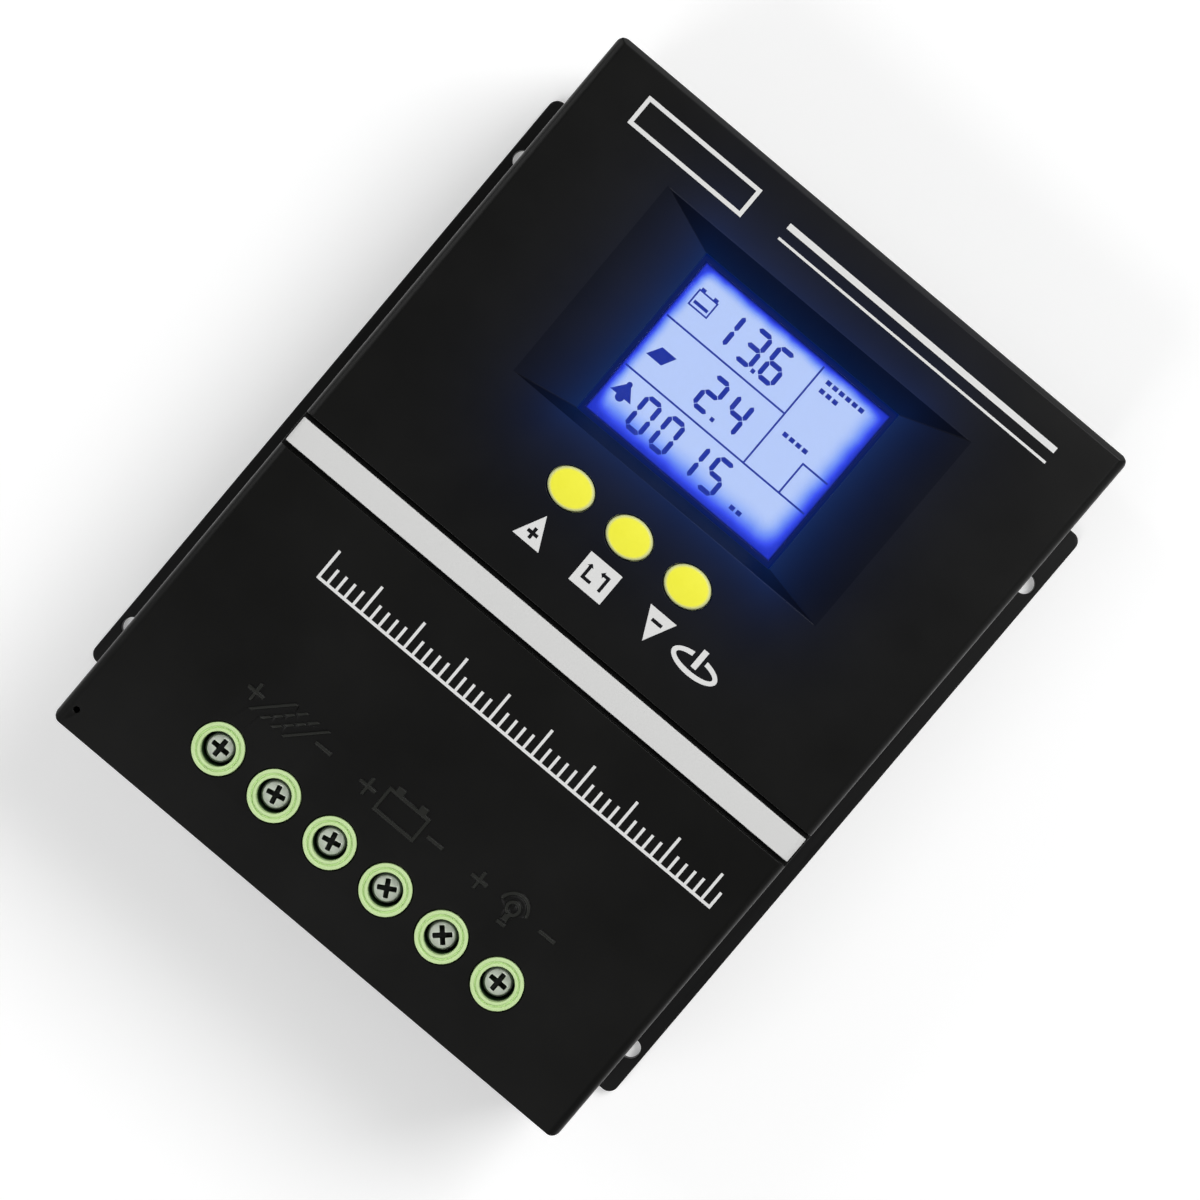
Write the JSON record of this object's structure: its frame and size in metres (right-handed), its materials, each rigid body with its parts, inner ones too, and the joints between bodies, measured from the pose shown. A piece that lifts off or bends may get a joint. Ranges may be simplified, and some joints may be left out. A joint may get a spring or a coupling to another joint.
{
  "type": "solar charge controller",
  "caption": "Wall-mounted solar charge controller: black case with lit display, oval keys, screw terminals under green collars and a finned back with mounting flanges.",
  "frame": {"origin": "centre of the mounting plane, under the middle of the case", "axes": "+Z out of the front face, +Y towards the upper end, +X to the right seen from the front"},
  "size_m": [0.1664, 0.2, 0.0652],
  "materials": {
    "case_plastic": "fine-grained satin moulding",
    "sink_anodised": "black anodised extrusion",
    "trim_white": "satin white strip",
    "print_white": "screen print",
    "key_yellow": "soft satin",
    "plunger_red": "plain",
    "terminal_green": "satin moulding",
    "terminal_screw": "zinc plated",
    "clamp_brass": "nickel-plated brass",
    "tinned_copper": "tinned copper bar",
    "screw_steel": "zinc plated",
    "bezel_black": "satin",
    "window_clear": "clear window",
    "display_blue": "lit display",
    "ink_navy": "dark display segments",
    "light_guide": "frosted",
    "board_green": "solder mask",
    "chip_black": "moulded package",
    "pad_grey": "thermal pad",
    "clamp_aluminium": "mill finish",
    "capacitor_sleeve": "shrink sleeve",
    "core_yellow": "coated powder core",
    "copper": "enamelled copper wire",
    "fuse_orange": "translucent plastic",
    "shunt_metal": "resistance alloy",
    "ribbon_grey": "flat cable"
  },
  "bodies": {
    "case": {"heat_sink": "sink_anodised", "rear_case": "case_plastic", "upper_cover": "case_plastic", "lower_cover": "case_plastic", "trim_bar": "trim_white", "cover_screws": "screw_steel", "main_board": "board_green", "standoffs": "screw_steel", "board_screws": "screw_steel", "transistors": "chip_black", "insulator_pads": "pad_grey", "clamp_bars": "clamp_aluminium", "clamp_screws": "screw_steel", "capacitors": "capacitor_sleeve", "inductor_core": "core_yellow", "inductor_winding": "copper", "fuse_holders": "chip_black", "fuses": "fuse_orange", "current_shunts": "shunt_metal", "controller_chip": "chip_black", "main_header": "chip_black", "ribbon_cable": "ribbon_grey", "display_header": "chip_black", "display_board": "board_green", "display_screws": "screw_steel", "tact_switches": "chip_black", "lcd_bezel": "bezel_black", "lcd_window": "window_clear", "lcd_glass": "display_blue", "lcd_segments": "ink_navy", "lcd_pins": "screw_steel", "lcd_backlight": "light_guide", "printed_symbols": "print_white", "printed_scale": "print_white", "terminal_block_solar": "terminal_green", "terminal_block_battery": "terminal_green", "terminal_block_load": "terminal_green", "contact_bars": "tinned_copper"},
    "key_up": {"key_up": "key_yellow", "plunger_up": "plunger_red"},
    "key_menu": {"key_menu": "key_yellow", "plunger_menu": "plunger_red"},
    "key_down": {"key_down": "key_yellow", "plunger_down": "plunger_red"},
    "terminal_screw_1": {"terminal_screw_1": "terminal_screw"},
    "wire_clamp_1": {"wire_clamp_1": "clamp_brass"},
    "terminal_screw_2": {"terminal_screw_2": "terminal_screw"},
    "wire_clamp_2": {"wire_clamp_2": "clamp_brass"},
    "terminal_screw_3": {"terminal_screw_3": "terminal_screw"},
    "wire_clamp_3": {"wire_clamp_3": "clamp_brass"},
    "terminal_screw_4": {"terminal_screw_4": "terminal_screw"},
    "wire_clamp_4": {"wire_clamp_4": "clamp_brass"},
    "terminal_screw_5": {"terminal_screw_5": "terminal_screw"},
    "wire_clamp_5": {"wire_clamp_5": "clamp_brass"},
    "terminal_screw_6": {"terminal_screw_6": "terminal_screw"},
    "wire_clamp_6": {"wire_clamp_6": "clamp_brass"}
  },
  "joints": [
    {"name": "press_up", "type": "slide", "parent": "case", "child": "key_up", "axis": [0, 0, -1], "range_m": [0, 0.0006], "stiffness_N_per_m": 2500, "springref_m": -0.0004},
    {"name": "press_menu", "type": "slide", "parent": "case", "child": "key_menu", "axis": [0, 0, -1], "range_m": [0, 0.0006], "stiffness_N_per_m": 2500, "springref_m": -0.0004},
    {"name": "press_down", "type": "slide", "parent": "case", "child": "key_down", "axis": [0, 0, -1], "range_m": [0, 0.0006], "stiffness_N_per_m": 2500, "springref_m": -0.0004},
    {"name": "turn_screw_1", "type": "hinge", "parent": "case", "child": "terminal_screw_1", "pos_m": [-0.0405, -0.0813, 0.05], "axis": [0, 0, -1], "range_deg": [0, 3240]},
    {"name": "turn_screw_2", "type": "hinge", "parent": "case", "child": "terminal_screw_2", "pos_m": [-0.02406, -0.0813, 0.05], "axis": [0, 0, -1], "range_deg": [0, 3240]},
    {"name": "turn_screw_3", "type": "hinge", "parent": "case", "child": "terminal_screw_3", "pos_m": [-0.00762, -0.0813, 0.05], "axis": [0, 0, -1], "range_deg": [0, 3240]},
    {"name": "turn_screw_4", "type": "hinge", "parent": "case", "child": "terminal_screw_4", "pos_m": [0.00882, -0.0813, 0.05], "axis": [0, 0, -1], "range_deg": [0, 3240]},
    {"name": "turn_screw_5", "type": "hinge", "parent": "case", "child": "terminal_screw_5", "pos_m": [0.02526, -0.0813, 0.05], "axis": [0, 0, -1], "range_deg": [0, 3240]},
    {"name": "turn_screw_6", "type": "hinge", "parent": "case", "child": "terminal_screw_6", "pos_m": [0.0417, -0.0813, 0.05], "axis": [0, 0, -1], "range_deg": [0, 3240]},
    {"name": "lift_clamp_1", "type": "slide", "parent": "case", "child": "wire_clamp_1", "axis": [0, 0, 1], "range_m": [0, 0.0072]},
    {"name": "lift_clamp_2", "type": "slide", "parent": "case", "child": "wire_clamp_2", "axis": [0, 0, 1], "range_m": [0, 0.0072]},
    {"name": "lift_clamp_3", "type": "slide", "parent": "case", "child": "wire_clamp_3", "axis": [0, 0, 1], "range_m": [0, 0.0072]},
    {"name": "lift_clamp_4", "type": "slide", "parent": "case", "child": "wire_clamp_4", "axis": [0, 0, 1], "range_m": [0, 0.0072]},
    {"name": "lift_clamp_5", "type": "slide", "parent": "case", "child": "wire_clamp_5", "axis": [0, 0, 1], "range_m": [0, 0.0072]},
    {"name": "lift_clamp_6", "type": "slide", "parent": "case", "child": "wire_clamp_6", "axis": [0, 0, 1], "range_m": [0, 0.0072]}
  ],
  "couplings": [
    {"joint": "turn_screw_1", "follows": "lift_clamp_1", "rad_per_m": 7853.9},
    {"joint": "turn_screw_2", "follows": "lift_clamp_2", "rad_per_m": 7853.9},
    {"joint": "turn_screw_3", "follows": "lift_clamp_3", "rad_per_m": 7853.9},
    {"joint": "turn_screw_4", "follows": "lift_clamp_4", "rad_per_m": 7853.9},
    {"joint": "turn_screw_5", "follows": "lift_clamp_5", "rad_per_m": 7853.9},
    {"joint": "turn_screw_6", "follows": "lift_clamp_6", "rad_per_m": 7853.9}
  ]
}
